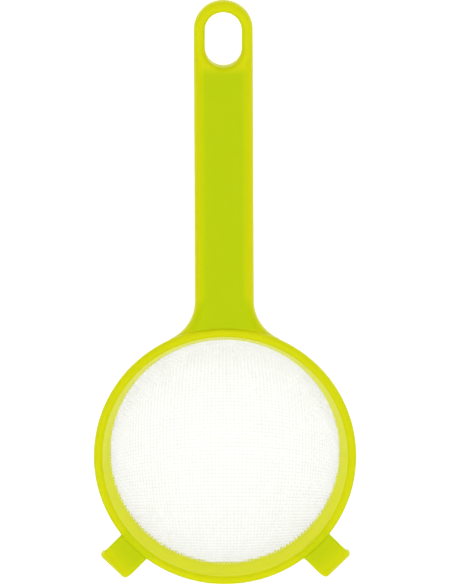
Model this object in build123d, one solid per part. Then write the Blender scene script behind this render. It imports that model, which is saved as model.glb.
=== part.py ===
from build123d import *
import math
import os

# Sizes in millimetres. Z up, ring centred on Z, handle along +Y. Z = 0 is the plane of the hooks'
# undersides, where the strainer rests on a vessel's rim.

# ring
RING_R = 50.0  # outside of the bead
BEAD_W = 3.5
BEAD_TOP = 3.6
BEAD_SIDE = 1.0  # straight outer side of the bead under its round
BEAD_IN_SIDE = 0.75  # the same on the inside, above the conical wall
BEAD_OVERHANG = 0.8  # bead past the skirt
SKIRT_LOW = -3.0  # where the outside turns in
RING_LOW = -7.4  # bottom of the ring
WALL_TAPER = 3.06  # how far the inner wall comes in on its way down
LIP_T = 0.5  # plastic inside the sieves' groove
BACK_T = 1.5  # plastic outside the groove
EDGE_R = 0.5  # small rounds on outer edges

# sieves
COARSE_T = 0.7  # woven thickness, two threads
FINE_T = 0.4
SIEVE_GAP = 0.1  # between the two sieves
SEAT_CLEAR = 0.05  # each side of the sieves in the groove
SEAT_DEPTH = 3.8  # groove, up from the ring's bottom

# handle
HANDLE_W = 22.4
HANDLE_END = 176.0  # from the ring's centre
HANDLE_TOP = 2.4
HANDLE_H = 7.0
HANDLE_WALL = 2.0
HOLLOW_CORNER = 3.0  # plan corners of the hollow under the handle
SHOULDER_R = 4.5
ROOT_R = 16.5  # concave corner between handle and ring
SLOT_WALL = 4.25  # the same beside and past the slot
SLOT_L = 21.0
SLOT_EDGE_R = 2.0

# hooks
HOOK_ANGLES = (225.5, 314.5)
HOOK_W = 13.5
HOOK_REACH = 11.8  # tip past the bead
HOOK_T = 2.4
HOOK_BEND = 2.8  # inside radius of the bend
HOOK_DROP = 4.6  # lip below the resting plane
HOOK_EDGE_R = 1.4  # outer edges of the tongue and the lip

NEAR = 0.01  # two places this close count as one when edges are picked

BEAD_ROUND = BEAD_W / 2
BEAD_ROUND_Z = BEAD_TOP - BEAD_ROUND
WALL_TOP = BEAD_ROUND_Z - BEAD_IN_SIDE
WALL_H = WALL_TOP - RING_LOW
SKIRT_R = RING_R - BEAD_OVERHANG
INNER_TOP_R = RING_R - BEAD_W
INNER_LOW_R = INNER_TOP_R - WALL_TAPER
ROOT_IN_R = (INNER_TOP_R + SKIRT_R) / 2  # arms end inside the wall
SLOPE = math.atan2(WALL_H, WALL_TAPER)  # the wall's angle from level
NORMAL = (math.sin(SLOPE), -math.cos(SLOPE))
BOWL_R = INNER_LOW_R / NORMAL[0]  # sphere that carries the inner wall on
BOWL_Z = RING_LOW + BOWL_R * math.cos(SLOPE)
COARSE_IN = LIP_T + SEAT_CLEAR
FINE_IN = COARSE_IN + COARSE_T + SIEVE_GAP
GROOVE_OUT = FINE_IN + FINE_T + SEAT_CLEAR
SEAT_TOP = RING_LOW + SEAT_DEPTH
SLOT_W = HANDLE_W - 2 * SLOT_WALL
SLOT_Y = HANDLE_END - SLOT_WALL - SLOT_L / 2


def on_wall(offset, z):
    """Point at height z on the line parallel to the inner wall, offset mm outwards."""
    r_low = INNER_LOW_R + offset / NORMAL[0]
    return (r_low + (z - RING_LOW) / math.tan(SLOPE), z)


def ring():
    """The bead, the skirt and the conical wall with the groove that holds both sieves."""
    side_low = BEAD_ROUND_Z - BEAD_SIDE
    back_low = on_wall(GROOVE_OUT, RING_LOW)[0] + BACK_T
    with BuildSketch(Plane.XZ) as section:
        with BuildLine():
            Polyline(
                (INNER_TOP_R, BEAD_ROUND_Z),
                (INNER_TOP_R, WALL_TOP),
                on_wall(0, RING_LOW),
                on_wall(LIP_T, RING_LOW),
                on_wall(LIP_T, SEAT_TOP),
                on_wall(GROOVE_OUT, SEAT_TOP),
                on_wall(GROOVE_OUT, RING_LOW),
                (back_low, RING_LOW),
                (SKIRT_R, SKIRT_LOW),
                (SKIRT_R, side_low - BEAD_OVERHANG),
                (RING_R, side_low),
                (RING_R, BEAD_ROUND_Z),
            )
            ThreePointArc((RING_R, BEAD_ROUND_Z), (RING_R - BEAD_ROUND, BEAD_TOP),
                          (INNER_TOP_R, BEAD_ROUND_Z))
        make_face()
    body = revolve(section.sketch, Axis.Z)
    turns = [e for e in body.edges().filter_by(GeomType.CIRCLE)
             if abs(e.radius - SKIRT_R) < NEAR and abs(e.center().Z - SKIRT_LOW) < NEAR
             or abs(e.radius - back_low) < NEAR and abs(e.center().Z - RING_LOW) < NEAR]
    return fillet(turns, EDGE_R)


def sieve(offset, thickness):
    """A woven bowl as a closed shell: a conical edge in the groove and a spherical bowl."""
    low, high = BOWL_R + offset, BOWL_R + offset + thickness
    start = [(r * NORMAL[0], BOWL_Z + r * NORMAL[1]) for r in (low, high)]
    middle = [(r * math.sin(SLOPE / 2), BOWL_Z - r * math.cos(SLOPE / 2)) for r in (low, high)]
    with BuildSketch(Plane.XZ) as section:
        with BuildLine():
            Polyline(start[0], on_wall(offset, SEAT_TOP), on_wall(offset + thickness, SEAT_TOP), start[1])
            ThreePointArc(start[1], middle[1], (0, BOWL_Z - high))
            Line((0, BOWL_Z - high), (0, BOWL_Z - low))
            ThreePointArc((0, BOWL_Z - low), middle[0], start[0])
        make_face()
    return revolve(section.sketch, Axis.Z)


def handle_outline():
    """Plan of the handle with its concave corners, run on into the ring to be trimmed."""
    half = HANDLE_W / 2
    end_y = HANDLE_END - half
    corner_x = half + ROOT_R
    corner_y = math.sqrt((SKIRT_R + ROOT_R) ** 2 - corner_x**2)
    aim = math.atan2(corner_y, corner_x)
    touch = (SKIRT_R * math.cos(aim), SKIRT_R * math.sin(aim))
    mid_aim = (math.pi + (aim + math.pi)) / 2
    mid = (corner_x + ROOT_R * math.cos(mid_aim), corner_y + ROOT_R * math.sin(mid_aim))
    deep = (INNER_LOW_R * math.cos(aim), INNER_LOW_R * math.sin(aim))
    with BuildSketch() as plan:
        with BuildLine():
            ThreePointArc((half, end_y), (0, HANDLE_END), (-half, end_y))
            Line((-half, end_y), (-half, corner_y))
            ThreePointArc((-half, corner_y), (-mid[0], mid[1]), (-touch[0], touch[1]))
            Polyline((-touch[0], touch[1]), (-deep[0], deep[1]), deep, touch)
            ThreePointArc(touch, mid, (half, corner_y))
            Line((half, corner_y), (half, end_y))
        make_face()
    return plan.sketch


def rim_edges(body, z, reach):
    """Edges of the body at height z further than reach from the ring's axis all along."""
    found = []
    for e in body.edges():
        points = [e @ t for t in (0.0, 0.25, 0.5, 0.75, 1.0)]
        if all(abs(p.Z - z) < NEAR and math.hypot(p.X, p.Y) > reach for p in points):
            found.append(e)
    return found


def handle():
    """The handle: a shell open below, rounded shoulders, and a solid end round the slot."""
    low = HANDLE_TOP - HANDLE_H
    body = extrude(Pos(0, 0, low) * handle_outline(), HANDLE_H)
    body = fillet(rim_edges(body, HANDLE_TOP, SKIRT_R - NEAR), SHOULDER_R)
    body = fillet(rim_edges(body, low, SKIRT_R - NEAR), EDGE_R)
    slot = Pos(0, SLOT_Y, low) * SlotOverall(SLOT_L, SLOT_W, rotation=90)
    body -= extrude(slot, HANDLE_H)
    slot_top = [e for e in body.edges()
                if abs(e.center().Y - SLOT_Y) < SLOT_L / 2 + NEAR and abs(e.center().X) < SLOT_W / 2 + NEAR
                and e.bounding_box().min.Z > HANDLE_TOP - SHOULDER_R / 2]
    body = fillet(slot_top, min(SLOT_EDGE_R, SLOT_WALL / 2))
    wide = HANDLE_W - 2 * HANDLE_WALL
    near_y = SKIRT_R + HANDLE_WALL
    far_y = SLOT_Y - SLOT_L / 2 - SLOT_WALL
    floor_plan = Pos(0, (near_y + far_y) / 2, low) * RectangleRounded(wide, far_y - near_y, HOLLOW_CORNER)
    hollow = extrude(floor_plan, HANDLE_H - HANDLE_WALL)
    hollow = fillet(rim_edges(hollow, HANDLE_TOP - HANDLE_WALL, 0), SHOULDER_R - HANDLE_WALL)
    body -= hollow
    return body - Cylinder(ROOT_IN_R, 4 * HANDLE_H)


def hook():
    """One hook lug along +X: a flat tongue that bends down into a lip."""
    tip = RING_R + HOOK_REACH
    outer = HOOK_BEND + HOOK_T
    bend_r, bend_z = tip - outer, HOOK_T - outer
    s = math.sqrt(0.5)
    with BuildSketch(Plane.XZ) as side:
        with BuildLine():
            Line((ROOT_IN_R, HOOK_T), (bend_r, HOOK_T))
            ThreePointArc((bend_r, HOOK_T), (bend_r + outer * s, bend_z + outer * s), (tip, bend_z))
            Polyline((tip, bend_z), (tip, -HOOK_DROP), (tip - HOOK_T, -HOOK_DROP),
                     (tip - HOOK_T, bend_z))
            ThreePointArc((tip - HOOK_T, bend_z), (bend_r + HOOK_BEND * s, bend_z + HOOK_BEND * s),
                          (bend_r, 0))
            Polyline((bend_r, 0), (ROOT_IN_R, 0), (ROOT_IN_R, HOOK_T))
        make_face()
    lug = extrude(side.sketch, HOOK_W / 2, both=True)
    sides = [e for e in lug.edges() if e.bounding_box().size.Y < NEAR]
    outside = [e for e in sides if e.center().X > tip - NEAR or e.center().Z > HOOK_T - NEAR
               or e.geom_type == GeomType.CIRCLE and e.radius > HOOK_BEND + NEAR]
    lug = fillet(outside, HOOK_EDGE_R)
    return fillet([e for e in lug.edges() if abs(e.center().Z + HOOK_DROP) < NEAR], EDGE_R)


def frame():
    """Ring, handle and hooks as the one moulding that they are."""
    body = ring() + handle()
    for angle in HOOK_ANGLES:
        body += Rot(0, 0, angle) * hook()
    return body


os.makedirs("parts", exist_ok=True)
for name, solid in {
    "frame": frame(),
    "coarse_sieve": sieve(COARSE_IN, COARSE_T),
    "fine_sieve": sieve(FINE_IN, FINE_T),
}.items():
    export_step(solid, f"parts/{name}.step")
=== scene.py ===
"""Looks of a double sieve strainer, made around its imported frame.

The moulded frame keeps its own shape and gets its plastic here. The two sieves are woven from nylon
threads over the bowls that the frame holds. Lengths are in metres.
"""

import enum
import logging
import math
from dataclasses import dataclass, field

import bpy
from mathutils import Matrix, Vector


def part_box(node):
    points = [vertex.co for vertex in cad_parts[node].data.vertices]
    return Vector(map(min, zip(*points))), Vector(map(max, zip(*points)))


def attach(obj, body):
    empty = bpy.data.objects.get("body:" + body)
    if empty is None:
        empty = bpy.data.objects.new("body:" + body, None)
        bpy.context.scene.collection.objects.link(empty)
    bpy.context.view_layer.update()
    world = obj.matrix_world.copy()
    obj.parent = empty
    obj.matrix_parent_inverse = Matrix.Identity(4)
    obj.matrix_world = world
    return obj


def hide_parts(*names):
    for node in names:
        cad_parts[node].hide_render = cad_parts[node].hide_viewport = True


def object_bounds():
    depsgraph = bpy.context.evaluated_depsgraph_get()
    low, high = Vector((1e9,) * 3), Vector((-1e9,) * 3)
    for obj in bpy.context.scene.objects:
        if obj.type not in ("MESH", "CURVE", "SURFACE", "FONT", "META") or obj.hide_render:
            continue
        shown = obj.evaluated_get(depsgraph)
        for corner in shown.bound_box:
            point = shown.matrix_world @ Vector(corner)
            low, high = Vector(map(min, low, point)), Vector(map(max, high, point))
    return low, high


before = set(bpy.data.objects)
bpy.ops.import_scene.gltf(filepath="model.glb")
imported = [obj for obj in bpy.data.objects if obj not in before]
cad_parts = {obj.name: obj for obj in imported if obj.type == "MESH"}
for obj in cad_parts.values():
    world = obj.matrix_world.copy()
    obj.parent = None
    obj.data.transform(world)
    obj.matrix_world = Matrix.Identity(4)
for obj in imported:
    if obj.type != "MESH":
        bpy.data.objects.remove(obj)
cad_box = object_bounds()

MM = 0.001
TINY = 1e-6  # keeps the bowl's middle from a division by zero
Triple = tuple[float, float, float]
Colour = Triple | bpy.types.NodeSocket
log = logging.getLogger("strainer")


class Run(enum.Enum):
    """Which way a family of threads runs through the cloth."""

    WARP = "warp"
    WEFT = "weft"


@dataclass(frozen=True)
class Field:
    """A number in a node tree. Arithmetic on it adds Math nodes to the tree."""

    tree: bpy.types.NodeTree
    socket: bpy.types.NodeSocket

    def maths(self, operation: str, *others: "Field | float") -> "Field":
        """Adds one Math node.

        Args:
            operation: The node's operation.
            others: The numbers after this one.

        Returns:
            The node's result.
        """
        node = self.tree.nodes.new("ShaderNodeMath")
        node.operation = operation
        self.tree.links.new(self.socket, node.inputs[0])
        for place, other in enumerate(others, start=1):
            if isinstance(other, Field):
                self.tree.links.new(other.socket, node.inputs[place])
            else:
                node.inputs[place].default_value = other
        return Field(self.tree, node.outputs[0])

    def past(self, start: float, fade: float) -> "Field":
        """How many fades the number is past start, or 0 before it."""
        return ((self - start) / fade).maths("MAXIMUM", 0.0)

    def __add__(self, other: "Field | float") -> "Field":
        """The sum."""
        return self.maths("ADD", other)

    def __sub__(self, other: "Field | float") -> "Field":
        """The difference."""
        return self.maths("SUBTRACT", other)

    def __mul__(self, other: "Field | float") -> "Field":
        """The product."""
        return self.maths("MULTIPLY", other)

    def __truediv__(self, other: "Field | float") -> "Field":
        """The quotient."""
        return self.maths("DIVIDE", other)


class Tree:
    """A geometry node tree in the making, with named inputs."""

    def __init__(self, name: str) -> None:
        """Starts an empty tree that ends in one mesh.

        Args:
            name: The tree's name.
        """
        self.tree = bpy.data.node_groups.new(name, "GeometryNodeTree")
        self.tree.interface.new_socket("Mesh", in_out="OUTPUT", socket_type="NodeSocketGeometry")
        self.entry = self.tree.nodes.new("NodeGroupInput")
        self.exit = self.tree.nodes.new("NodeGroupOutput")

    def ask(self, name: str, kind: str = "Float") -> Field:
        """Adds a named input.

        Args:
            name: The input's name.
            kind: Float, Int, Bool or Material.

        Returns:
            The input, as a field.
        """
        self.tree.interface.new_socket(name, in_out="INPUT", socket_type=f"NodeSocket{kind}")
        return Field(self.tree, self.entry.outputs[name])

    def add(self, kind: str, inputs: dict[str, object] | None = None,
            **settings: object) -> bpy.types.Node:
        """Adds a node.

        Args:
            kind: The node's type name.
            inputs: Its inputs by name, each a field, a socket or a constant.
            settings: Its properties.

        Returns:
            The node.
        """
        node = self.tree.nodes.new(kind)
        for name, value in settings.items():
            setattr(node, name, value)
        for name, value in (inputs or {}).items():
            socket = node.inputs[name]
            if isinstance(value, Field):
                self.tree.links.new(value.socket, socket)
            elif isinstance(value, bpy.types.NodeSocket):
                self.tree.links.new(value, socket)
            else:
                socket.default_value = value
        return node

    def number(self, socket: bpy.types.NodeSocket) -> Field:
        """A socket of this tree as a field."""
        return Field(self.tree, socket)

    def vector(self, x: Field | float, y: Field | float, z: Field | float) -> bpy.types.NodeSocket:
        """A vector from its three numbers."""
        return self.add("ShaderNodeCombineXYZ", {"X": x, "Y": y, "Z": z}).outputs["Vector"]

    def first_two(self, vector: bpy.types.NodeSocket) -> tuple[Field, Field]:
        """The first two numbers of a vector."""
        split = self.add("ShaderNodeSeparateXYZ", {"Vector": vector})
        return self.number(split.outputs["X"]), self.number(split.outputs["Y"])

    def choose(self, switch: Field, no: Field | float, yes: Field | float) -> Field:
        """One number or the other, as the switch says."""
        node = self.add("GeometryNodeSwitch", {"Switch": switch, "False": no, "True": yes},
                        input_type="FLOAT")
        return self.number(node.outputs["Output"])

    def finish(self, mesh: bpy.types.NodeSocket, finish: Field) -> None:
        """Ends the tree with real geometry, shaded smooth, in its finish.

        Args:
            mesh: What the tree has made.
            finish: Its material.
        """
        smooth = self.add("GeometryNodeSetShadeSmooth", {"Geometry": mesh})
        real = self.add("GeometryNodeRealizeInstances", {"Geometry": smooth.outputs[0]})
        dressed = self.add("GeometryNodeSetMaterial", {"Geometry": real.outputs[0], "Material": finish})
        self.tree.links.new(dressed.outputs[0], self.exit.inputs["Mesh"])

    def bake(self, name: str, values: dict[str, object]) -> bpy.types.Object:
        """Runs the tree and keeps its result as a plain mesh.

        Args:
            name: The piece's name.
            values: The tree's inputs by name.

        Returns:
            A new piece at the origin, with no modifier.
        """
        seed = bpy.data.objects.new(f"{name}_source", bpy.data.meshes.new(f"{name}_source"))
        bpy.context.scene.collection.objects.link(seed)
        modifier = seed.modifiers.new("weave", "NODES")
        modifier.node_group = self.tree
        for item in self.tree.interface.items_tree:
            if item.in_out == "INPUT":
                modifier[item.identifier] = values[item.name]
        bpy.context.view_layer.update()
        graph = bpy.context.evaluated_depsgraph_get()
        mesh = bpy.data.meshes.new_from_object(seed.evaluated_get(graph), depsgraph=graph)
        bpy.data.objects.remove(seed)
        mesh.name = name
        piece = bpy.data.objects.new(name, mesh)
        bpy.context.scene.collection.objects.link(piece)
        return piece


class Shader:
    """A material in the making around one Principled shader."""

    def __init__(self, name: str) -> None:
        """Starts a material with its Principled shader.

        Args:
            name: The material's name.
        """
        self.material = bpy.data.materials.new(name)
        self.material.use_nodes = True
        self.tree = self.material.node_tree
        self.surface = self.tree.nodes["Principled BSDF"]
        self.where = self.tree.nodes.new("ShaderNodeTexCoord").outputs["Object"]

    def set(self, **values: object) -> None:
        """Sets constants on the shader's own sockets, their names' spaces written as underscores."""
        for name, value in values.items():
            self.surface.inputs[name.replace("_", " ")].default_value = value

    def place(self) -> tuple[Field, Field]:
        """Finds where a point lies on the object, seen from above.

        Returns:
            Its X and its Y.
        """
        split = self.tree.nodes.new("ShaderNodeSeparateXYZ")
        self.tree.links.new(self.where, split.inputs["Vector"])
        return Field(self.tree, split.outputs["X"]), Field(self.tree, split.outputs["Y"])

    def noise(self, scale: float, detail: float = 2.0, stretch: Triple = (1.0, 1.0, 1.0)) -> Field:
        """Lays a noise over the object.

        Args:
            scale: Bumps in a metre.
            detail: Octaves.
            stretch: Scale along each axis.

        Returns:
            The noise, from 0 to 1.
        """
        mapping = self.tree.nodes.new("ShaderNodeMapping")
        mapping.inputs["Scale"].default_value = stretch
        node = self.tree.nodes.new("ShaderNodeTexNoise")
        node.inputs["Scale"].default_value = scale
        node.inputs["Detail"].default_value = detail
        self.tree.links.new(self.where, mapping.inputs["Vector"])
        self.tree.links.new(mapping.outputs["Vector"], node.inputs["Vector"])
        return Field(self.tree, node.outputs["Fac"])

    def mix(self, share: Field, low: Colour, high: Colour) -> bpy.types.NodeSocket:
        """Mixes two colours.

        Args:
            share: 0 for low, 1 for high.
            low: The first colour, linear, or a socket that gives it.
            high: The second colour.

        Returns:
            The mixed colour.
        """
        node = self.tree.nodes.new("ShaderNodeMix")
        node.data_type = "RGBA"
        self.tree.links.new(share.socket, node.inputs["Factor"])
        ends = [socket for socket in node.inputs if socket.type == "RGBA"]
        for socket, colour in zip(ends, (low, high)):
            if isinstance(colour, bpy.types.NodeSocket):
                self.tree.links.new(colour, socket)
            else:
                socket.default_value = (*colour, 1.0)
        return next(socket for socket in node.outputs if socket.type == "RGBA")

    def colour(self, socket: bpy.types.NodeSocket) -> None:
        """Sets the surface's base colour."""
        self.tree.links.new(socket, self.surface.inputs["Base Color"])

    def polish(self, roughness: float, spread: float, noise: Field) -> None:
        """Makes the surface's polish uneven.

        Args:
            roughness: The middle of its roughness.
            spread: How far the roughness ranges in all.
            noise: Where it is rough, from 0 to 1.
        """
        uneven = (noise - 0.5) * spread + roughness
        self.tree.links.new(uneven.socket, self.surface.inputs["Roughness"])

    def bump(self, height: Field, depth: float) -> None:
        """Roughens the surface's normal.

        Args:
            height: Height from 0 to 1.
            depth: The height of 1, in metres.
        """
        node = self.tree.nodes.new("ShaderNodeBump")
        node.inputs["Distance"].default_value = depth
        self.tree.links.new(height.socket, node.inputs["Height"])
        self.tree.links.new(node.outputs["Normal"], self.surface.inputs["Normal"])

    def clear_from_behind(self) -> None:
        """Makes the back of the surface clear, so that the object can be seen from under a floor."""
        clear = self.tree.nodes.new("ShaderNodeBsdfTransparent")
        side = self.tree.nodes.new("ShaderNodeNewGeometry").outputs["Backfacing"]
        either = self.tree.nodes.new("ShaderNodeMixShader")
        self.tree.links.new(side, either.inputs[0])
        self.tree.links.new(self.surface.outputs["BSDF"], either.inputs[1])
        self.tree.links.new(clear.outputs["BSDF"], either.inputs[2])
        self.tree.links.new(either.outputs["Shader"], self.tree.nodes["Material Output"].inputs["Surface"])


@dataclass(frozen=True)
class LimePlastic:
    """Translucent lime-green moulded plastic with a soft gloss.

    Attributes:
        painted_shade: Its colour on the handle's flat and the hooks' roots, darker as painted shade.
        light: Its colour on the edges, the ring and the hook tips, lighter as painted light for the side
            light that comes through the plastic.
        pale: Its colour on the ring's inner wall, paler as painted light for what the wall lets through and
            reflects.
        side_fade: From deep to light across the handle.
        end_fade: From deep to light at the slot's end of the handle's flat.
        join_fade: From deep to light where the flat meets the ring.
        join_lead: How far before the ring that starts.
        root_length: How much of the handle spreads out before the ring.
        root_spread: How fast it spreads there, to each side.
        hook_turn: How far round from -Y each hook stands.
        hook_half: Half a hook's width.
        hook_side: From deep to light along the bead beside a hook.
        hook_share: How light a hook's root is.
        hook_inward: How much lighter the bead gets behind a hook, for each millimetre in.
        hook_from: Where a hook starts to lighten, past the ring.
        hook_fade: From there to its lightest.
        wall_in: Where the inner wall turns pale, in from the ring's outside.
        wall_fade: Over what width it does.
        unevenness: How far flow marks range between deep and light.
        travel: How far each of red, green and blue goes inside, in depths.
        depth: How far light goes inside.
    """

    # Painted shade and painted light: the first two colours darken the handle's flat and the hooks' roots,
    # and lighten the edges, the ring and the hook tips, as light from the sides through the plastic would.
    painted_shade: Triple = (0.41, 0.50, 0.0003)
    light: Triple = (0.525, 0.54, 0.002)
    pale: Triple = (0.70, 0.72, 0.026)
    side_fade: float = 2.6 * MM
    end_fade: float = 3.2 * MM
    join_fade: float = 2.0 * MM
    join_lead: float = 0.8 * MM
    root_length: float = 12.0 * MM
    root_spread: float = 0.4
    hook_turn: float = math.radians(44.5)
    hook_half: float = 6.75 * MM
    hook_side: float = 4.0 * MM
    hook_share: float = 0.25
    hook_inward: float = 0.12
    hook_from: float = 3.0 * MM
    hook_fade: float = 10.0 * MM
    wall_in: float = 3.0 * MM
    wall_fade: float = 0.4 * MM
    unevenness: float = 0.12
    flow_scale: float = 35.0
    flow_detail: float = 3.0
    flow_stretch: Triple = (1.0, 0.35, 1.0)
    roughness: float = 0.30
    polish_spread: float = 0.10
    polish_scale: float = 120.0
    polish_detail: float = 4.0
    grain_scale: float = 2600.0
    grain_share: float = 0.05
    sink_scale: float = 60.0
    sink_detail: float = 1.0
    bump_depth: float = 0.02 * MM
    ior: float = 1.35
    gloss: float = 0.07
    scatter: float = 1.0
    depth: float = 1.6 * MM
    travel: Triple = (1.0, 1.0, 0.12)

    def painted_light_mask(self, x: Field, y: Field, out: Field, flat: tuple[float, float], ring: float) -> Field:
        """Finds where light is painted in: all but the handle's flat and the hooks' roots, which keep the
        painted shade.

        Args:
            x: Place across the handle.
            y: Place along the handle.
            out: Distance from the ring's axis.
            flat: Half the width of the handle's flat, and where it ends along Y.
            ring: The ring's outer radius, where the flat and the hooks start.

        Returns:
            0 for painted shade, 1 for painted light.
        """
        flat_half, flat_end = flat
        root = (y * -1.0).past(-ring - self.root_length, 1.0) * self.root_spread
        beside = (x.maths("ABSOLUTE") - root).past(flat_half, self.side_fade)
        above = y.past(flat_end, self.end_fade)
        below = (y * -1.0).past(-ring, self.join_fade)
        join = (out * -1.0).past(-ring - self.join_lead, self.join_fade)
        handle = (beside * beside + above * above + below * below + join * join).maths("SQRT")
        tip = out.past(ring + self.hook_from, self.hook_fade) + self.hook_share
        inward = (out * -1.0).past(-ring, MM)
        across = x.maths("ABSOLUTE") * math.cos(self.hook_turn) + y * math.sin(self.hook_turn)
        behind = inward * self.hook_inward + across.maths("ABSOLUTE").past(self.hook_half, self.hook_side)
        hook = tip + inward.maths("MINIMUM", behind) + y.past(0.0, MM)
        return handle.maths("MINIMUM", hook).maths("MINIMUM", 1.0)

    def material(self, flat: tuple[float, float], ring: float) -> bpy.types.Material:
        """Builds the material, with painted shade on the handle's flat and the hooks' roots, painted light
        elsewhere, and paler painted light on the ring's inner wall.

        Args:
            flat: Half the width of the handle's flat, and where it ends along Y.
            ring: The ring's outer radius.

        Returns:
            The material.
        """
        shader = Shader("lime_plastic")
        shader.set(IOR=self.ior, Specular_IOR_Level=self.gloss, Subsurface_Weight=self.scatter,
                   Subsurface_Radius=self.travel, Subsurface_Scale=self.depth)
        shader.surface.subsurface_method = "RANDOM_WALK"
        x, y = shader.place()
        out = (x * x + y * y).maths("SQRT")
        painted_light_share = self.painted_light_mask(x, y, out, flat, ring)
        flow = (shader.noise(self.flow_scale, self.flow_detail, self.flow_stretch) - 0.5) * self.unevenness
        # Painted shade on the broad flat and the hook roots, painted light towards the edges and tips. The
        # flow marks on top are real unevenness.
        body = shader.mix((painted_light_share + flow).maths("MAXIMUM", 0.0), self.painted_shade, self.light)
        # Painted light: the ring's inner wall turns paler towards the bowl.
        wall = (out * -1.0).past(self.wall_in - ring, self.wall_fade).maths("MINIMUM", 1.0)
        shader.colour(shader.mix(wall, body, self.pale))
        shader.polish(self.roughness, self.polish_spread, shader.noise(self.polish_scale, self.polish_detail))
        grain = shader.noise(self.grain_scale) * self.grain_share
        shader.bump(grain + shader.noise(self.sink_scale, self.sink_detail), self.bump_depth)
        return shader.material


@dataclass(frozen=True)
class NylonThread:
    """White nylon monofilament.

    Attributes:
        name: The material's name.
        white: Its colour where it is clean.
        shade: Its colour where it is dull.
        depth: How far light goes inside, as far in every colour.
    """

    name: str
    white: Triple = (0.94, 0.94, 0.93)
    shade: Triple = (0.88, 0.885, 0.87)
    shade_scale: float = 140.0
    shade_detail: float = 3.0
    roughness: float = 0.32
    polish_spread: float = 0.12
    polish_scale: float = 900.0
    ior: float = 1.45
    scatter: float = 0.8
    depth: float = 0.35 * MM
    travel: Triple = (1.0, 1.0, 1.0)

    def material(self) -> bpy.types.Material:
        """Builds the material.

        Returns:
            The material.
        """
        shader = Shader(self.name)
        shader.set(IOR=self.ior, Subsurface_Weight=self.scatter, Subsurface_Radius=self.travel,
                   Subsurface_Scale=self.depth)
        shader.colour(shader.mix(shader.noise(self.shade_scale, self.shade_detail), self.shade, self.white))
        shader.polish(self.roughness, self.polish_spread, shader.noise(self.polish_scale))
        return shader.material


@dataclass(frozen=True)
class FloorPaint:
    """Matt white floor paint with a faint glow, clear from below.

    Attributes:
        dull: Its colour in its dull patches.
        clean: Its colour between them.
        patch: Patches in a metre.
        glow: Its own light.
    """

    dull: Triple = (0.50, 0.50, 0.50)
    clean: Triple = (0.52, 0.52, 0.52)
    patch: float = 3.0
    roughness: float = 0.9
    gloss: float = 0.1
    glow: float = 0.60

    def material(self) -> bpy.types.Material:
        """Builds the material.

        Returns:
            The material.
        """
        shader = Shader("floor_paint")
        shader.set(Roughness=self.roughness, Specular_IOR_Level=self.gloss,
                   Emission_Color=(1.0, 1.0, 1.0, 1.0), Emission_Strength=self.glow)
        shader.colour(shader.mix(shader.noise(self.patch), self.dull, self.clean))
        shader.clear_from_behind()
        return shader.material


@dataclass
class Bowl:
    """The surface that a sieve is woven on: a sphere that a cone carries on into the ring.

    The sphere is worked out from the sieve's own closed shell.

    Attributes:
        node: The sieve's shell.
        thickness: The shell's thickness.
        wall_drop: Height of the ring's conical wall.
        wall_taper: How far that wall comes in on its way down.
        edge_slope: The wall's angle from level.
        radius: The sphere's radius, in the middle of the shell.
        centre: The height of the sphere's centre.
    """

    node: str
    thickness: float
    wall_drop: float = 8.5 * MM
    wall_taper: float = 3.06 * MM
    edge_slope: float = field(init=False)
    radius: float = field(init=False)
    centre: float = field(init=False)

    def __post_init__(self) -> None:
        """Finds the sphere that touches the shell's lowest point and its conical edge."""
        self.edge_slope = math.atan2(self.wall_drop, self.wall_taper)
        low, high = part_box(self.node)
        rise, run = math.sin(self.edge_slope), math.cos(self.edge_slope)
        outer = (high.x * rise - (high.z - low.z) * run) / (1 - run)
        self.radius = outer - self.thickness / 2
        self.centre = low.z + outer

    @property
    def sphere_reach(self) -> float:
        """Distance along the surface from the bottom of the bowl to where the cone starts."""
        return self.radius * self.edge_slope

    def reach_at(self, z: float) -> float:
        """Distance along the surface from the bottom of the bowl up to height z on the cone."""
        cone_start = self.centre - self.radius * math.cos(self.edge_slope)
        return self.sphere_reach + (z - cone_start) / math.sin(self.edge_slope)


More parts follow.
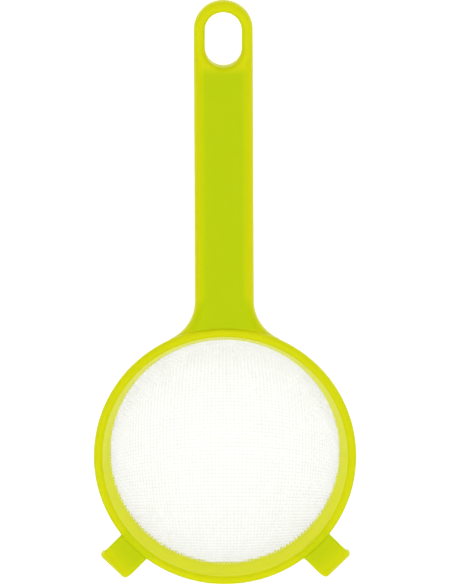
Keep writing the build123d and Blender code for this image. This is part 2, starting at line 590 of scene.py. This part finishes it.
@dataclass
class Sieve:
    """One plain-woven bowl, its warp and its weft each a piece.

    Attributes:
        node: The closed shell that it replaces.
        slot: The record's slot for its finish.
        pitch: From one thread to the next.
        thread: A thread's diameter.
        bends: Points on a thread from one crossing to the next.
        sides: Sides of a thread's section.
        finish: What the threads are made of.
        edge_height: Height of the ring's lower edge, where the cloth goes in.
        tuck: How far the threads run on inside the ring.
        poke: How far their ends stand in from the ring's wall, as the teeth that show.
        poke_up: How far above the ring's lower edge they stand in most.
        poke_width: Over what length they do.
        wander: How far the threads stray, in pitches.
        wander_scale: Strays in a metre.
        seed: Which strays.
    """

    node: str
    slot: str
    pitch: float
    thread: float
    bends: int
    sides: int
    finish: NylonThread
    edge_height: float
    tuck: float = 2.2 * MM
    poke: float = 0.0
    poke_up: float = 0.5 * MM
    poke_width: float = 0.9 * MM
    wander: float = 0.12
    wander_scale: float = 110.0
    seed: float = 4.0

    def rows(self, made: Tree, threads: Field, bends: Field, pitch: Field,
             reach: Field) -> bpy.types.NodeSocket:
        """Lays one family of threads flat, along Y, and cuts it to a disc.

        Args:
            made: The tree in the making.
            threads: How many threads lie side by side.
            bends: Points on a thread from one crossing to the next.
            pitch: From one thread to the next.
            reach: The disc's radius.

        Returns:
            The threads' middle lines.
        """
        half = (threads - 1.0) * pitch * 0.5
        line = made.add("GeometryNodeCurvePrimitiveLine", {
            "Start": made.vector(0.0, half * -1.0, 0.0), "End": made.vector(0.0, half, 0.0)})
        count = (threads - 1.0) * bends + 1.0
        row = made.add("GeometryNodeResampleCurve", {"Curve": line.outputs["Curve"], "Count": count})
        starts = made.add("GeometryNodeMeshLine", {
            "Count": threads, "Start Location": made.vector(half * -1.0, 0.0, 0.0),
            "Offset": made.vector(pitch, 0.0, 0.0)})
        laid = made.add("GeometryNodeInstanceOnPoints", {
            "Points": starts.outputs["Mesh"], "Instance": row.outputs["Curve"]})
        cloth = made.add("GeometryNodeRealizeInstances", {"Geometry": laid.outputs["Instances"]})
        x, y = made.first_two(made.add("GeometryNodeInputPosition").outputs["Position"])
        outside = made.add("FunctionNodeCompare", {"A": (x * x + y * y).maths("SQRT"), "B": reach},
                           data_type="FLOAT", operation="GREATER_THAN")
        disc = made.add("GeometryNodeDeleteGeometry", {
            "Geometry": cloth.outputs["Geometry"], "Selection": outside.outputs["Result"]}, domain="POINT")
        return disc.outputs["Geometry"]

    def tree(self) -> Tree:
        """Builds the tree that forms one family of threads into the bowl, over and under the other.

        Returns:
            The tree, whose inputs size the cloth and turn the threads.
        """
        made = Tree(f"{self.node}_weave")
        ask = made.ask
        pitch, thread, rise = ask("Pitch"), ask("Thread Radius"), ask("Rise")
        reach, radius, centre, slope = ask("Reach"), ask("Bowl Radius"), ask("Bowl Centre"), ask("Edge Slope")
        poke, poke_at, poke_width = ask("Poke"), ask("Poke At"), ask("Poke Width")
        wander, wander_scale, seed = ask("Wander"), ask("Wander Scale"), ask("Seed")
        threads, bends, sides = ask("Threads", "Int"), ask("Bends", "Int"), ask("Sides", "Int")
        crosswise, finish = ask("Crosswise", "Bool"), ask("Material", "Material")

        disc = self.rows(made, threads, bends, pitch, reach)
        x, y = made.first_two(made.add("GeometryNodeInputPosition").outputs["Position"])
        u, v = made.choose(crosswise, x, y), made.choose(crosswise, y, x)
        side = made.choose(crosswise, -1.0, 1.0)
        over = ((u + v) / pitch * math.pi).maths("COSINE") * rise * side

        drift = made.add("ShaderNodeTexNoise", {
            "Vector": made.vector(u, v, seed), "Scale": wander_scale, "Detail": 1.0}, noise_dimensions="3D")
        stray_u, stray_v = made.first_two(drift.outputs["Color"])
        u = u + (stray_u - 0.5) * wander * pitch
        v = v + (stray_v - 0.5) * wander * pitch

        gone = (u * u + v * v).maths("SQRT").maths("MAXIMUM", TINY)
        arc = radius * slope
        angle = gone.maths("MINIMUM", arc) / radius
        beyond = (gone - arc).maths("MAXIMUM", 0.0)
        bulge = (gone - poke_at) / poke_width
        shell = radius + over - (bulge * bulge * -1.0).maths("EXPONENT") * poke
        out = shell * angle.maths("SINE") + beyond * slope.maths("COSINE")
        height = centre - shell * angle.maths("COSINE") + beyond * slope.maths("SINE")
        formed = made.add("GeometryNodeSetPosition", {
            "Geometry": disc, "Position": made.vector(out * u / gone, out * v / gone, height)})

        section = made.add("GeometryNodeCurvePrimitiveCircle", {"Resolution": sides, "Radius": thread})
        tubes = made.add("GeometryNodeCurveToMesh", {
            "Curve": formed.outputs["Geometry"], "Profile Curve": section.outputs["Curve"],
            "Fill Caps": True})
        made.finish(tubes.outputs["Mesh"], finish)
        return made

    def build(self) -> list[bpy.types.Object]:
        """Weaves the bowl.

        Returns:
            The warp and the weft.
        """
        bowl = Bowl(self.node, 2 * self.thread)
        edge = bowl.reach_at(self.edge_height)
        reach = edge + self.tuck
        threads = 2 * math.ceil(reach / self.pitch)
        material = self.finish.material()
        made = self.tree()
        pieces = []
        for run in Run:
            piece = made.bake(f"{self.node}_{run.value}", {
                "Pitch": self.pitch, "Thread Radius": self.thread / 2, "Rise": self.thread / 2,
                "Reach": reach, "Bowl Radius": bowl.radius, "Bowl Centre": bowl.centre,
                "Edge Slope": bowl.edge_slope, "Poke": self.poke, "Poke At": edge + self.poke_up,
                "Poke Width": self.poke_width, "Wander": self.wander, "Wander Scale": self.wander_scale,
                "Seed": self.seed, "Threads": threads, "Bends": self.bends, "Sides": self.sides,
                "Crosswise": run is Run.WEFT, "Material": material})
            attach(piece, "root")
            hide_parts(self.node)
            log.info("%s: %d threads, %d faces", piece.name, threads, len(piece.data.polygons))
            pieces.append(piece)
        return pieces


@dataclass
class MouldedFrame:
    """Ring, handle and hooks: the one moulding, which keeps its own shape.

    Attributes:
        node: The moulding.
        finish: What it is made of.
        flat_half: Half the width of the handle's flat.
        eye_length: The handle's end round the slot, past the flat.
    """

    node: str = "frame"
    finish: LimePlastic = LimePlastic()
    flat_half: float = 6.9 * MM
    eye_length: float = 27.8 * MM

    def dress(self) -> bpy.types.Object:
        """Gives the moulding its plastic.

        Returns:
            The moulding.
        """
        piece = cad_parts[self.node]
        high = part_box(self.node)[1]
        material = self.finish.material((self.flat_half, high.y - self.eye_length), high.x)
        for place in piece.material_slots:
            place.material = material
        log.info("%s: %d faces", piece.name, len(piece.data.polygons))
        return piece


@dataclass
class Studio:
    """Floor, soft light and camera.

    Attributes:
        tilt: How far the camera leans towards the handle's end.
        roll: How far it is turned about its own line of sight.
        distance: From the camera to its aim.
        view_height: What the picture's longer side takes in, at the aim.
        aim_right: The aim, right of the ring's centre.
        aim_up: The aim, up the picture from the ring's centre.
        floor_gap: From the floor to the object's lowest point.
        first_lamp: Where the first lamp hangs, round from +X.
        lamp_aim: What the lamps point at.
        sky_low: The sky's strength near the horizon.
        sky_high: Its strength overhead.
        rise_from: Where it starts to brighten, as the sine of the height.
        rise_to: Where it is brightest.
    """

    tilt: float = math.radians(12.3)
    roll: float = math.radians(-0.24)
    distance: float = 5.0
    view_height: float = 222.3 * MM
    aim_right: float = 0.36 * MM
    aim_up: float = 63.0 * MM
    sensor: float = 36.0
    floor_size: float = 24.0
    floor_gap: float = 0.2 * MM
    paint: FloorPaint = FloorPaint()
    lamps: int = 4
    first_lamp: float = math.radians(45)
    lamp_size: float = 0.9
    lamp_distance: float = 1.3
    lamp_height: float = 0.75
    lamp_watts: float = 1.0
    lamp_aim: Triple = (0.0, 0.05, 0.0)
    sky_low: float = 0.28
    sky_high: float = 2.0
    rise_from: float = 0.25
    rise_to: float = 0.95

    def lay_floor(self) -> bpy.types.Object:
        """Lays a plain pale floor just under the object.

        Returns:
            The floor.
        """
        low = cad_box[0].z - self.floor_gap
        half = self.floor_size / 2
        corners = [(-half, -half, low), (half, -half, low), (half, half, low), (-half, half, low)]
        mesh = bpy.data.meshes.new("floor")
        mesh.from_pydata(corners, [], [(0, 1, 2, 3)])
        piece = bpy.data.objects.new("floor", mesh)
        bpy.context.scene.collection.objects.link(piece)
        mesh.materials.append(self.paint.material())
        return piece

    def hang_lamps(self) -> None:
        """Hangs soft lamps round the object, none of them overhead."""
        for number in range(self.lamps):
            turn = self.first_lamp + math.tau * number / self.lamps
            data = bpy.data.lights.new(f"softbox_{number}", "AREA")
            data.size = self.lamp_size
            data.energy = self.lamp_watts
            lamp = bpy.data.objects.new(data.name, data)
            lamp.location = (self.lamp_distance * math.cos(turn), self.lamp_distance * math.sin(turn),
                             self.lamp_height)
            aim = Vector(self.lamp_aim) - lamp.location
            lamp.rotation_euler = aim.to_track_quat("-Z", "Y").to_euler()
            bpy.context.scene.collection.objects.link(lamp)

    def light_sky(self) -> None:
        """Sets a white sky that is brightest overhead."""
        world = bpy.data.worlds.new("sky")
        world.use_nodes = True
        tree = world.node_tree
        where = tree.nodes.new("ShaderNodeTexCoord").outputs["Generated"]
        split = tree.nodes.new("ShaderNodeSeparateXYZ")
        tree.links.new(where, split.inputs["Vector"])
        ramp = tree.nodes.new("ShaderNodeMapRange")
        ramp.interpolation_type = "SMOOTHSTEP"
        ramp.inputs["From Min"].default_value = self.rise_from
        ramp.inputs["From Max"].default_value = self.rise_to
        ramp.inputs["To Min"].default_value = self.sky_low
        ramp.inputs["To Max"].default_value = self.sky_high
        tree.links.new(split.outputs["Z"], ramp.inputs["Value"])
        tree.links.new(ramp.outputs["Result"], tree.nodes["Background"].inputs["Strength"])
        tree.nodes["Background"].inputs["Color"].default_value = (1.0, 1.0, 1.0, 1.0)
        bpy.context.scene.world = world
        bpy.context.scene.view_settings.view_transform = "Standard"

    def stand_camera(self) -> None:
        """Stands the camera over the ring, leaning towards the handle's end, to look into the bowl."""
        data = bpy.data.cameras.new("camera")
        data.sensor_width = self.sensor
        data.lens = data.sensor_width * self.distance / self.view_height
        camera = bpy.data.objects.new("camera", data)
        back = Vector((0, math.sin(self.tilt), math.cos(self.tilt)))
        turn = Matrix.Rotation(self.roll, 3, back)
        right = turn @ Vector((1, 0, 0))
        up = back.cross(right)
        ring_top = Vector((0, 0, cad_box[1].z))
        target = ring_top + up * self.aim_up + right * self.aim_right
        camera.location = target + back * self.distance
        camera.rotation_euler = Matrix((right, up, back)).transposed().to_euler()
        bpy.context.scene.collection.objects.link(camera)
        bpy.context.scene.camera = camera

    def build(self) -> None:
        """Sets the whole studio up."""
        self.light_sky()
        self.lay_floor()
        self.hang_lamps()
        self.stand_camera()
        log.info("studio: floor, %d lamps, camera", self.lamps)


def main() -> None:
    """Builds the strainer's looks and its studio."""
    MouldedFrame().dress()
    ring_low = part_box("frame")[0].z
    Sieve("coarse_sieve", "coarse_nylon", pitch=1.5 * MM, thread=0.35 * MM, bends=2, sides=5,
          finish=NylonThread("coarse_nylon"), edge_height=ring_low, poke=1.15 * MM).build()
    Sieve("fine_sieve", "fine_nylon", pitch=0.75 * MM, thread=0.2 * MM, bends=1, sides=4,
          finish=NylonThread("fine_nylon"), edge_height=ring_low).build()
    Studio().build()


if __name__ == "__main__":
    logging.basicConfig(level=logging.INFO, format="%(name)s: %(message)s")
    main()
